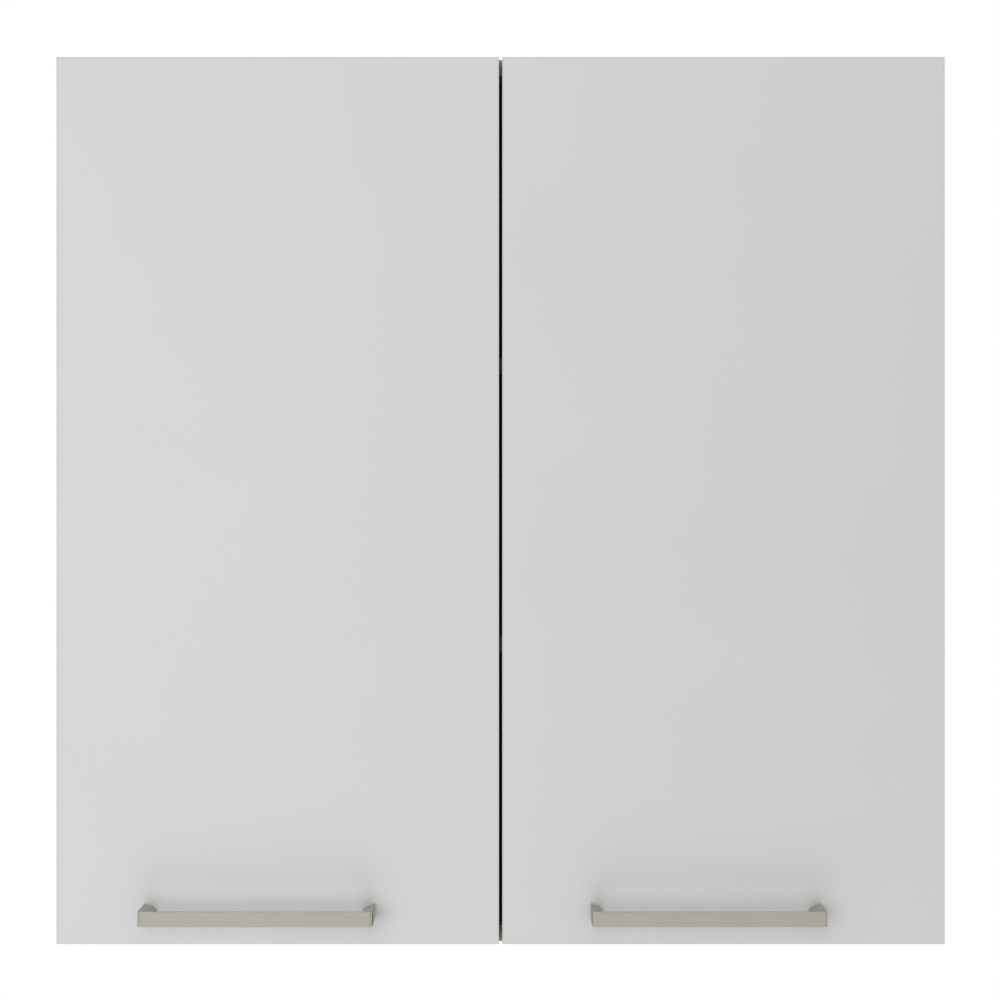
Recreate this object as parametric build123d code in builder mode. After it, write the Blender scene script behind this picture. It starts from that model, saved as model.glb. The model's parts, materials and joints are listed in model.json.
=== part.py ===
from build123d import *

import os
from math import cos, hypot, radians, sin

# Hanging wall cabinet with two overlay slab doors, each on two concealed cup hinges.
# Frame: X to the right as seen from the front, Y into the wall, Z up, millimetres.
# The origin is on the wall plane, in the middle of the pattern of four wall screw holes.
# Doors are shut at rest.

# ---------------------------------------------------------------- driving sizes
cabinet_width = 800.0
cabinet_height = 800.0
cabinet_depth = 320.0  # from the wall to the front edge of the carcass
carcass_board = 15.0
door_board = 16.0
edging = 1.0  # thickness of every edging strip
fit = 0.1  # clearance all round between pieces that are fixed to each other
running_fit = 0.05  # radial clearance of a turning pin

# carcass
screw_line_drop = 74.0  # from the cabinet's top down to the origin
back_board = 3.0
back_recess = 17.0  # from the wall to the rear face of the back panel
back_groove_depth = 8.0
shelf_setback = 20.0
shelf_side_gap = 1.0
shelf_rear_gap = 1.0
hole_pitch = 32.0  # spacing of every row of system holes
first_row_height = 18.0  # above the bottom panel's inner face
front_row_setback = 37.0
shelf_rows = (7, 15)  # the row that each shelf rests on
spare_rows = 1  # holes above and below the one in use
pin_radius = 2.5
pin_depth = 8.0
pin_reach = 8.0
pin_tab_width = 8.0
pin_tab_thickness = 2.0
pin_tab_rise = 1.0  # from the top of the pin to the top of its tab
blind_gap = 1.0  # spare depth at the blind end of a hole

# corner joints
cam_setback = 50.0  # from the carcass front edge, and as far from the back panel
dowel_setback = 82.0
dowel_radius = 4.0
dowel_in_side = 11.0
dowel_in_end = 18.0
cam_radius = 7.5
cam_end_margin = 1.0  # from a cam bolt's head to the blind end of the cam's pocket
cam_inset = 24.0  # from the side panel's inner face to the cam's axis
cam_bolt_radius = 3.0
cam_bolt_in_side = 11.0
cam_bolt_head_radius = 3.5
cam_bolt_head_length = 4.0
cam_cross_width = 1.6
cam_cross_length = 9.0
cam_cross_depth = 2.0

# doors
door_side_reveal = 1.5  # carcass edge left uncovered at each side
door_end_reveal = 2.0  # and at the top and the bottom
door_gap = 3.0  # between the two doors
door_standoff = 2.0  # from the carcass front edge to the doors' inner face
bumper_radius = 4.0
bumper_thickness = 1.9
bumper_inset = 14.0  # from the door's free edge
bumper_end_inset = 5.5  # from the door's top or bottom edge

# handles
handle_spacing = 192.0
handle_end_inset = 7.25  # from a screw's axis to the end of the handle
handle_height = 13.3
handle_projection = 32.0
handle_first_hole = 86.5  # from the door's left edge
handle_rise = 30.0  # from the door's bottom edge to the handle's centre line
handle_bar_depth = 8.0
handle_bar_flat = 1.4  # straight part of the bar's section behind its front face
handle_foot_length = 10.7  # along the bar
handle_end_bevel = 2.3
handle_bevel_depth = 1.2
handle_foot_sink = 1.5  # from the bar's front face to where a foot starts
handle_edge_break = 0.35
screw_radius = 2.0
screw_hole_radius = 2.5
screw_in_handle = 9.0
screw_head_radius = 4.0
screw_head_height = 2.4
cross_length = 4.4  # of the recess in every screw head
cross_width = 0.9
cross_depth = 0.8

# concealed hinges; u runs inwards from the cabinet's outer side, v forwards from the carcass edge
hinge_end_inset = 100.0  # from the door's top or bottom edge to the hinge's centre
cup_tab = 4.0  # from the door's edge to the cup's bore
cup_bore_radius = 17.5
cup_bore_depth = 12.5
cup_floor = 1.2
cup_slot_start = 1.7  # wall between the bore's near side and the slot
cup_slot_length = 30.9
lever_bay = 6.3  # half the height that the cup's slot leaves the levers and the arm
flange_thickness = 1.0
flange_start = 16.0  # from the door's edge
flange_end = 41.0
flange_half_height = 29.0
flange_corner_radius = 4.0
cup_screw_inset = 31.0  # from the door's edge
cup_screw_spread = 22.5  # from the hinge's centre
cup_screw_radius = 1.75
cup_screw_length = 10.0
cup_screw_head_radius = 3.4
cup_screw_head_height = 1.2
cup_pin_half_length = 8.5
hinge_pin_radius = 1.5
lever_half_width = 2.3
long_lever_half_height = 2.0
short_lever_inner = 2.3  # from the hinge's centre to each short lever's inner face
short_lever_outer = 4.5
long_lever_bow = -5.48
short_lever_bow = -1.04
open_pivot_play = 0.25
arm_half_height = 6.0
arm_wall = 1.2
arm_boss_radius = 2.3
arm_front = 24.0
arm_rear = 62.0
arm_wall_start = 3.0  # from the side panel to the arm's walls
arm_wall_rise = 14.0  # from the side panel to the arm's back
arm_open_width = 26.0
plate_thickness = 2.5
plate_half_height = 24.0
plate_half_width = 9.0
plate_corner_radius = 3.0
rail_gap = 0.4  # between the plate's rail and the arm
rail_front = 25.0
rail_rear = 59.0
euro_screw_radius = 2.4
euro_screw_bite = 11.0
euro_head_radius = 4.0
euro_head_height = 2.0
arm_screw_setbacks = (31.0, 52.0)
arm_screw_bite = 7.0
arm_head_radius = 3.6
arm_head_height = 1.8

# hanging hardware
wall_plate_thickness = 2.0
wall_plate_width = 48.0
wall_plate_half_height = 22.0
wall_plate_side_gap = 3.0
wall_plate_step = 6.0  # from the wall to the back of the raised lip
wall_plate_lip = 12.0
wall_hole_radius = 3.5
wall_hole_spacing = 22.0
housing_width = 20.0
housing_depth = 42.0
housing_height = 50.0
housing_wall = 2.0
housing_front_wall = 3.0
housing_peg_shares = (0.3, 0.75)  # places of its pegs along its depth
housing_peg_radius = 5.0
housing_peg_length = 9.0
housing_gap = 0.5
hook_width = 8.0
hook_bar_height = 11.0
hook_front_gap = 1.0
hook_bar_gap = 1.0  # between the wall plate's lip and the hook's bar
hook_tongue_drop = 8.0
hook_tongue_thickness = 3.0
hook_wall_gap = 1.5
hook_leg_drop = 24.0
hook_leg_depth = 10.0
hanger_screw_radius = 2.5
hanger_screw_head_radius = 4.5
hanger_screw_head_length = 3.0
hanger_screw_bite = 8.0
cover_wall = 1.2
cover_overlap = 5.0
cover_front_gap = 4.0
notch_margin = 2.0

# ---------------------------------------------------------------- hinge linkage
# Pivots of one hinge with the door shut, as (u, v) points. While the door turns by an angle, each
# lever turns by its own share of that angle, backwards. The long lever carries the door. The short
# levers' far pin runs in a slot in the cup, which takes up what constant shares can't.
long_arm_pivot = (30.92, -7.16)
short_arm_pivot = (34.50, 9.39)
long_cup_pivot = (11.68, 4.70)
short_cup_pivot = (16.39, 9.63)
long_lever_share = -0.3876
short_lever_share = -0.3664
door_opening = 94.0  # degrees

# ---------------------------------------------------------------- derived places
half_width = cabinet_width / 2
inner_half = half_width - carcass_board
top_z = screw_line_drop
bottom_z = top_z - cabinet_height
inner_top_z = top_z - carcass_board
inner_bottom_z = bottom_z + carcass_board
front_y = -cabinet_depth
board_front_y = front_y + edging  # where a carcass board ends and its edging starts
back_rear_y = -back_recess
back_front_y = back_rear_y - back_board
door_back_y = front_y - door_standoff
door_front_y = door_back_y - door_board
door_width = (cabinet_width - 2 * door_side_reveal - door_gap) / 2
door_height = cabinet_height - 2 * door_end_reveal
door_bottom_z = bottom_z + door_end_reveal
door_top_z = door_bottom_z + door_height
row_pitches = int((back_front_y - front_y - 2 * front_row_setback) // hole_pitch)
pin_row_ys = (front_y + front_row_setback, front_y + front_row_setback + row_pitches * hole_pitch)
hinge_zs = {"lower": door_bottom_z + hinge_end_inset, "upper": door_top_z - hinge_end_inset}
cup_inset = cup_tab + cup_bore_radius  # from the door's edge to the cup's axis
sides = {"left": -1, "right": 1}
ends = {"top": 1, "bottom": -1}
from_start = (Align.CENTER, Align.CENTER, Align.MIN)


def row_z(row):
    """Height of one row of shelf pin holes."""
    return inner_bottom_z + first_row_height + row * hole_pitch


def shelf_bottom_z(row):
    """Underside of the shelf whose pins sit in the given row."""
    return row_z(row) + pin_radius + pin_tab_rise


def from_side(side, u, v):
    """The x and y of a point u inwards from the cabinet's side and v forwards from its edge."""
    return (side * (half_width - u), front_y - v)


def block(low, high, mode=Mode.ADD):
    """Adds or cuts a block between two opposite corners."""
    with Locations(tuple((a + b) / 2 for a, b in zip(low, high))):
        Box(*(abs(b - a) for a, b in zip(low, high)), mode=mode)


def rods(points, direction, radius, length, mode=Mode.ADD):
    """Adds or cuts equal round rods, each from its point along the direction."""
    with Locations(*(Plane(origin=point, z_dir=direction) for point in points)):
        Cylinder(radius, length, align=from_start, mode=mode)


def bore(points, direction, radius, depth):
    """Drills equal round holes, each from its point along the direction."""
    rods(points, direction, radius, depth, mode=Mode.SUBTRACT)


def cross_recess(centres, direction):
    """Cuts a cross recess into screw heads, from each centre along the direction."""
    with Locations(*(Plane(origin=centre, z_dir=direction) for centre in centres)):
        Box(cross_length, cross_width, cross_depth, align=from_start, mode=Mode.SUBTRACT)
        Box(cross_width, cross_length, cross_depth, align=from_start, mode=Mode.SUBTRACT)


def save(piece, name):
    """Labels a finished piece and writes it to its own STEP file."""
    piece.part.label = name
    export_step(piece.part, f"parts/{name}.step")


os.makedirs("parts", exist_ok=True)

# ---------------------------------------------------------------- carcass
joint_zs = {"top": (inner_top_z + top_z) / 2, "bottom": (bottom_z + inner_bottom_z) / 2}
cam_ys = (front_y + cam_setback, back_front_y - cam_setback)
dowel_ys = (front_y + dowel_setback, back_front_y - dowel_setback)
cam_depth = carcass_board / 2 + cam_bolt_head_radius + cam_end_margin
groove_front_y = back_front_y - fit
groove_rear_y = back_rear_y + fit
housing_top_z = inner_top_z - fit
housing_bottom_z = housing_top_z - housing_height
housing_rear_y = back_front_y - housing_gap
housing_front_y = housing_rear_y - housing_depth
housing_mid_z = (housing_top_z + housing_bottom_z) / 2
housing_inner_x = inner_half - housing_width
peg_ys = [housing_front_y + housing_depth * share for share in housing_peg_shares]
plate_screw_zs = [z + sign * hole_pitch / 2 for z in hinge_zs.values() for sign in (-1, 1)]
plate_screw_y = front_y + front_row_setback

for name, side in sides.items():
    into_board = (side, 0, 0)
    inner_x = side * inner_half
    pin_holes = [
        (inner_x, y, row_z(row + spare))
        for y in pin_row_ys
        for row in shelf_rows
        for spare in range(-spare_rows, spare_rows + 1)
    ]
    with BuildPart() as side_panel:
        block((inner_x, board_front_y, bottom_z), (side * half_width, 0, top_z))
        block(
            (inner_x, groove_front_y, bottom_z),
            (inner_x + side * back_groove_depth, groove_rear_y, top_z),
            mode=Mode.SUBTRACT,
        )
        bore(pin_holes, into_board, pin_radius + running_fit, pin_depth + blind_gap)
        bore([(inner_x, plate_screw_y, z) for z in plate_screw_zs], into_board,
             euro_screw_radius + fit, euro_screw_bite + blind_gap)
        bore([(inner_x, y, z) for y in dowel_ys for z in joint_zs.values()], into_board,
             dowel_radius + fit, dowel_in_side + blind_gap)
        bore([(inner_x, y, z) for y in cam_ys for z in joint_zs.values()], into_board,
             cam_bolt_radius + fit, cam_bolt_in_side + blind_gap)
        bore([(inner_x, y, housing_mid_z) for y in peg_ys], into_board,
             housing_peg_radius + fit, housing_peg_length + blind_gap)
    save(side_panel, f"side_panel_{name}")

for name, end in ends.items():
    inner_z = inner_top_z if end > 0 else inner_bottom_z
    outer_z = top_z if end > 0 else bottom_z
    cams = [(side * (inner_half - cam_inset), y, outer_z) for side in sides.values() for y in cam_ys]
    with BuildPart() as end_panel:
        block((-inner_half, board_front_y, inner_z), (inner_half, 0, outer_z))
        block(
            (-inner_half, groove_front_y, inner_z),
            (inner_half, groove_rear_y, inner_z + end * back_groove_depth),
            mode=Mode.SUBTRACT,
        )
        bore(cams, (0, 0, -end), cam_radius + fit, cam_depth)
        for side in sides.values():
            inward = (-side, 0, 0)
            board_end = side * inner_half
            bore([(board_end, y, joint_zs[name]) for y in dowel_ys], inward,
                 dowel_radius + fit, dowel_in_end + blind_gap)
            bore([(board_end, y, joint_zs[name]) for y in cam_ys], inward,
                 cam_bolt_head_radius + fit, cam_inset)
    save(end_panel, f"{name}_panel")

with BuildPart() as back_panel:
    reach = back_groove_depth - blind_gap
    block(
        (-inner_half - reach, back_front_y, inner_bottom_z - reach),
        (inner_half + reach, back_rear_y, inner_top_z + reach),
    )
    for side in sides.values():
        block(
            (side * (housing_inner_x - notch_margin), back_front_y, housing_bottom_z - notch_margin),
            (side * half_width, back_rear_y, top_z),
            mode=Mode.SUBTRACT,
        )
save(back_panel, "back_panel")

with BuildPart() as carcass_edging:
    for side in sides.values():
        block((side * inner_half, front_y, bottom_z), (side * half_width, board_front_y, top_z))
    block((-inner_half, front_y, inner_top_z), (inner_half, board_front_y, top_z))
    block((-inner_half, front_y, bottom_z), (inner_half, board_front_y, inner_bottom_z))
save(carcass_edging, "carcass_edging")

with BuildPart() as dowels:
    for side in sides.values():
        starts = [(side * (inner_half + dowel_in_side), y, z) for y in dowel_ys for z in joint_zs.values()]
        rods(starts, (-side, 0, 0), dowel_radius, dowel_in_side + dowel_in_end)
save(dowels, "dowels")

with BuildPart() as cam_bolts:
    for side in sides.values():
        for z in joint_zs.values():
            inner_end = inner_half - cam_inset + cam_bolt_head_length / 2
            starts = [(side * (inner_half + cam_bolt_in_side), y, z) for y in cam_ys]
            rods(starts, (-side, 0, 0), cam_bolt_radius, cam_bolt_in_side + inner_half - inner_end)
            heads = [(side * inner_end, y, z) for y in cam_ys]
            rods(heads, (-side, 0, 0), cam_bolt_head_radius, cam_bolt_head_length)
save(cam_bolts, "cam_bolts")

with BuildPart() as cam_locks:
    for name, end in ends.items():
        outer_z = top_z if end > 0 else bottom_z
        for side in sides.values():
            centres = [(side * (inner_half - cam_inset), y, outer_z) for y in cam_ys]
            rods(centres, (0, 0, -end), cam_radius, cam_depth)
            for x, y, z in centres:
                block(
                    (x - cam_cross_length / 2, y - cam_cross_width / 2, z),
                    (x + cam_cross_length / 2, y + cam_cross_width / 2, z - end * cam_cross_depth),
                    mode=Mode.SUBTRACT,
                )
                block(
                    (x - cam_cross_width / 2, y - cam_cross_length / 2, z),
                    (x + cam_cross_width / 2, y + cam_cross_length / 2, z - end * cam_cross_depth),
                    mode=Mode.SUBTRACT,
                )
            mouths = [(x + side * (cam_radius + fit), y, joint_zs[name]) for x, y, z in centres]
            bore(mouths, (-side, 0, 0), cam_bolt_head_radius + fit, cam_radius + cam_bolt_head_length)
save(cam_locks, "cam_locks")

# ---------------------------------------------------------------- shelves
shelf_half = inner_half - shelf_side_gap
shelf_front_y = front_y + shelf_setback
shelf_rear_y = back_front_y - shelf_rear_gap
for name, row in zip(("lower", "upper"), shelf_rows):
    low_z = shelf_bottom_z(row)
    with BuildPart() as shelf:
        block((-shelf_half, shelf_front_y + edging, low_z),
              (shelf_half, shelf_rear_y, low_z + carcass_board))
    save(shelf, f"shelf_{name}")

with BuildPart() as shelf_edging:
    for row in shelf_rows:
        low_z = shelf_bottom_z(row)
        block((-shelf_half, shelf_front_y, low_z),
              (shelf_half, shelf_front_y + edging, low_z + carcass_board))
save(shelf_edging, "shelf_edging")

with BuildPart() as shelf_pins:
    for side in sides.values():
        for row in shelf_rows:
            starts = [(side * (inner_half + pin_depth), y, row_z(row)) for y in pin_row_ys]
            rods(starts, (-side, 0, 0), pin_radius, pin_depth + pin_reach)
            tab_top = shelf_bottom_z(row)
            for y in pin_row_ys:
                block(
                    (side * inner_half, y - pin_tab_width / 2, tab_top - pin_tab_thickness),
                    (side * (inner_half - pin_reach), y + pin_tab_width / 2, tab_top),
                )
save(shelf_pins, "shelf_pins")

# ---------------------------------------------------------------- hanging hardware
hook_x = inner_half - housing_width / 2
lip_top_z = wall_plate_half_height + wall_plate_lip
bar_bottom_z = lip_top_z + hook_bar_gap
bar_top_z = bar_bottom_z + hook_bar_height
leg_bottom_z = bar_bottom_z - hook_leg_drop
hook_front_y = housing_front_y + housing_front_wall + hook_front_gap
hanger_screw_zs = (bar_bottom_z + hook_bar_height / 2, leg_bottom_z + hook_bar_height / 2)
plate_outer_x = inner_half - wall_plate_side_gap
plate_inner_x = plate_outer_x - wall_plate_width
wall_hole_x = (plate_outer_x + plate_inner_x) / 2
lip_front_y = -wall_plate_step - wall_plate_thickness
step_bottom_z = wall_plate_half_height - wall_plate_thickness

for name, side in sides.items():
    with BuildPart() as wall_plate:
        block((side * plate_inner_x, -wall_plate_thickness, -wall_plate_half_height),
              (side * plate_outer_x, 0, wall_plate_half_height))
        block((side * plate_inner_x, lip_front_y, step_bottom_z),
              (side * plate_outer_x, 0, wall_plate_half_height))
        block((side * plate_inner_x, lip_front_y, step_bottom_z),
              (side * plate_outer_x, lip_front_y + wall_plate_thickness, lip_top_z))
        bore([(side * wall_hole_x, 0, sign * wall_hole_spacing / 2) for sign in (-1, 1)],
             (0, -1, 0), wall_hole_radius, wall_plate_thickness)
    save(wall_plate, f"wall_plate_{name}")

    with BuildPart() as hanger_hook:
        low_x = side * hook_x - hook_width / 2
        high_x = side * hook_x + hook_width / 2
        block((low_x, hook_front_y, bar_bottom_z), (high_x, -hook_wall_gap, bar_top_z))
        block((low_x, -hook_wall_gap - hook_tongue_thickness, bar_bottom_z - hook_tongue_drop),
              (high_x, -hook_wall_gap, bar_bottom_z))
        block((low_x, hook_front_y, leg_bottom_z), (high_x, hook_front_y + hook_leg_depth, bar_bottom_z))
        bore([(side * hook_x, hook_front_y, z) for z in hanger_screw_zs], (0, 1, 0),
             hanger_screw_radius + running_fit, hook_leg_depth)
    save(hanger_hook, f"hanger_hook_{name}")

    with BuildPart() as hanger_housing:
        block((side * housing_inner_x, housing_front_y, housing_bottom_z),
              (side * inner_half, housing_rear_y, housing_top_z))
        block((side * (housing_inner_x + housing_wall), housing_front_y + housing_front_wall,
               housing_bottom_z + housing_wall),
              (side * (inner_half - housing_wall), housing_rear_y, housing_top_z - housing_wall),
              mode=Mode.SUBTRACT)
        rods([(side * inner_half, y, housing_mid_z) for y in peg_ys], (side, 0, 0),
             housing_peg_radius, housing_peg_length)
        bore([(side * hook_x, housing_front_y, z) for z in hanger_screw_zs], (0, 1, 0),
             hanger_screw_radius + fit, housing_front_wall)
    save(hanger_housing, f"hanger_housing_{name}")

    with BuildPart() as hanger_cover:
        cap_front_y = housing_front_y - cover_front_gap - cover_wall
        block((side * (housing_inner_x - fit - cover_wall), cap_front_y,
               housing_bottom_z - fit - cover_wall),
              (side * (inner_half - fit), housing_front_y + cover_overlap, housing_top_z))
        block((side * (housing_inner_x - fit), housing_front_y - fit, housing_bottom_z - fit),
              (side * half_width, housing_front_y + cover_overlap, top_z), mode=Mode.SUBTRACT)
        block((side * (housing_inner_x - fit), cap_front_y + cover_wall, housing_bottom_z - fit),
              (side * (inner_half - fit - cover_wall), housing_front_y, housing_top_z - cover_wall),
              mode=Mode.SUBTRACT)
    save(hanger_cover, f"hanger_cover_{name}")

with BuildPart() as hanger_screws:
    fronts = [(side * hook_x, housing_front_y, z) for side in sides.values() for z in hanger_screw_zs]
    rods(fronts, (0, -1, 0), hanger_screw_head_radius, hanger_screw_head_length)
    rods(fronts, (0, 1, 0), hanger_screw_radius, housing_front_wall + hook_front_gap + hanger_screw_bite)
    cross_recess([(x, y - hanger_screw_head_length, z) for x, y, z in fronts], (0, 1, 0))
save(hanger_screws, "hanger_screws")

# ---------------------------------------------------------------- doors
cup_centre_u = door_side_reveal + cup_inset
cup_screw_u = door_side_reveal + cup_screw_inset
handle_z = door_bottom_z + handle_rise
handle_front_y = door_front_y - handle_projection
handle_length = handle_spacing + 2 * handle_end_inset
cup_screw_spots = [(z + sign * cup_screw_spread) for z in hinge_zs.values() for sign in (-1, 1)]
bumper_zs = (door_top_z - bumper_end_inset, door_bottom_z + bumper_end_inset)

for name, side in sides.items():
    hinge_edge_x = side * (half_width - door_side_reveal)
    free_edge_x = side * door_gap / 2
    left_edge_x = min(hinge_edge_x, free_edge_x)
    handle_hole_xs = [left_edge_x + handle_first_hole + step for step in (0, handle_spacing)]
    cup_x, _ = from_side(side, cup_centre_u, 0)
    cup_screw_x, _ = from_side(side, cup_screw_u, 0)
    core_low = (left_edge_x + edging, door_front_y, door_bottom_z + edging)
    core_high = (left_edge_x + door_width - edging, door_back_y, door_top_z - edging)

    with BuildPart() as door_panel:
        block(core_low, core_high)
        bore([(cup_x, door_back_y, z) for z in hinge_zs.values()], (0, -1, 0),
             cup_bore_radius, cup_bore_depth)
        bore([(cup_screw_x, door_back_y, z) for z in cup_screw_spots], (0, -1, 0),
             cup_screw_radius + fit, cup_screw_length + blind_gap)
        bore([(x, door_back_y, handle_z) for x in handle_hole_xs], (0, -1, 0), screw_hole_radius, door_board)
    save(door_panel, f"door_panel_{name}")

    with BuildPart() as door_edging:
        block((left_edge_x, door_front_y, door_bottom_z),
              (left_edge_x + door_width, door_back_y, door_top_z))
        block(core_low, core_high, mode=Mode.SUBTRACT)
    save(door_edging, f"door_edging_{name}")

    with BuildPart() as door_bumpers:
        bumper_x = free_edge_x + side * bumper_inset
        rods([(bumper_x, door_back_y, z) for z in bumper_zs], (0, 1, 0), bumper_radius, bumper_thickness)
    save(door_bumpers, f"door_bumpers_{name}")

    # A die-cast bar handle: flat front, rounded back, and at each end a foot with a rounded inner side.
    handle_low_x = handle_hole_xs[0] - handle_end_inset
    handle_high_x = handle_low_x + handle_length
    half_bar = handle_height / 2
    low_z, high_z = handle_z - half_bar, handle_z + half_bar
    flat_y = handle_front_y + handle_bar_flat
    bar_back_y = handle_front_y + handle_bar_depth
    with BuildPart() as handle:
        with BuildSketch(Plane.YZ.offset(handle_low_x)):
            with BuildLine():
                front_low, front_high = (handle_front_y, low_z), (handle_front_y, high_z)
                Polyline((flat_y, low_z), front_low, front_high, (flat_y, high_z))
                ThreePointArc((flat_y, high_z), (bar_back_y, handle_z), (flat_y, low_z))
            make_face()
        extrude(amount=handle_length)
        fillet(handle.edges().filter_by(Axis.X).group_by(Axis.Y)[0], handle_edge_break)
        for end_x, inward in ((handle_low_x, 1), (handle_high_x, -1)):
            with BuildSketch(Plane.XZ.offset(-door_front_y)):
                with BuildLine():
                    # The control point lies twice as far out as the tip of the curve.
                    control = (end_x + inward * 2 * handle_foot_length, handle_z)
                    Bezier((end_x, high_z), control, (end_x, low_z))
                    Line((end_x, low_z), (end_x, high_z))
                make_face()
            extrude(amount=handle_projection - handle_foot_sink)
            with BuildSketch(Plane.XY.offset(handle_z)):
                with BuildLine():
                    Polyline(
                        (end_x, handle_front_y),
                        (end_x + inward * handle_end_bevel, handle_front_y),
                        (end_x, handle_front_y + handle_bevel_depth),
                        close=True,
                    )
                make_face()
            extrude(amount=handle_height, both=True, mode=Mode.SUBTRACT)
        bore([(x, door_front_y, handle_z) for x in handle_hole_xs], (0, -1, 0),
             screw_radius + running_fit, screw_in_handle + blind_gap)
    save(handle, f"handle_{name}")

    with BuildPart() as handle_screws:
        seats = [(x, door_back_y, handle_z) for x in handle_hole_xs]
        rods(seats, (0, 1, 0), screw_head_radius, screw_head_height)
        rods(seats, (0, -1, 0), screw_radius, door_board + screw_in_handle)
        cross_recess([(x, door_back_y + screw_head_height, handle_z) for x in handle_hole_xs], (0, -1, 0))
    save(handle_screws, f"handle_screws_{name}")

# ---------------------------------------------------------------- concealed hinges
wall_face_u = carcass_board  # inner face of the side panel
rail_top_u = wall_face_u + arm_wall_rise - arm_wall - rail_gap
arm_wall_u = wall_face_u + arm_wall_start
arm_back_u = wall_face_u + arm_wall_rise
plate_front_v = -front_row_setback + plate_half_width
plate_rear_v = -front_row_setback - plate_half_width
slot_start_u = door_side_reveal + cup_tab + cup_slot_start
slot_end_u = slot_start_u + cup_slot_length
cup_depth = cup_bore_depth - fit
arm_bay = arm_half_height - arm_wall


def bowed_arc(side, start, end, bow):
    """Arc between two (u, v) points of a hinge, bowed to the left of the way from start to end."""
    run_u, run_v = end[0] - start[0], end[1] - start[1]
    length = hypot(run_u, run_v)
    middle = (
        (start[0] + end[0]) / 2 - run_v / length * bow,
        (start[1] + end[1]) / 2 + run_u / length * bow,
    )
    return ThreePointArc(*(from_side(side, *point) for point in (start, middle, end)))


def turned(point, centre, angle):
    """A (u, v) point turned about a centre by an angle in degrees, the way the door opens."""
    u, v = point[0] - centre[0], point[1] - centre[1]
    c, s = cos(radians(angle)), sin(radians(angle))
    return (centre[0] + c * u - s * v, centre[1] + s * u + c * v)


def open_pivot_place(angle):
    """Where the short levers' far pin lies in the shut cup's frame with the door open by an angle."""
    pin = turned(short_cup_pivot, short_arm_pivot, short_lever_share * angle)
    hub = turned(long_cup_pivot, long_arm_pivot, long_lever_share * angle)
    from_hub = turned((pin[0] - hub[0], pin[1] - hub[1]), (0, 0), -angle)
    return (long_cup_pivot[0] + from_hub[0], long_cup_pivot[1] + from_hub[1])


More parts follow.
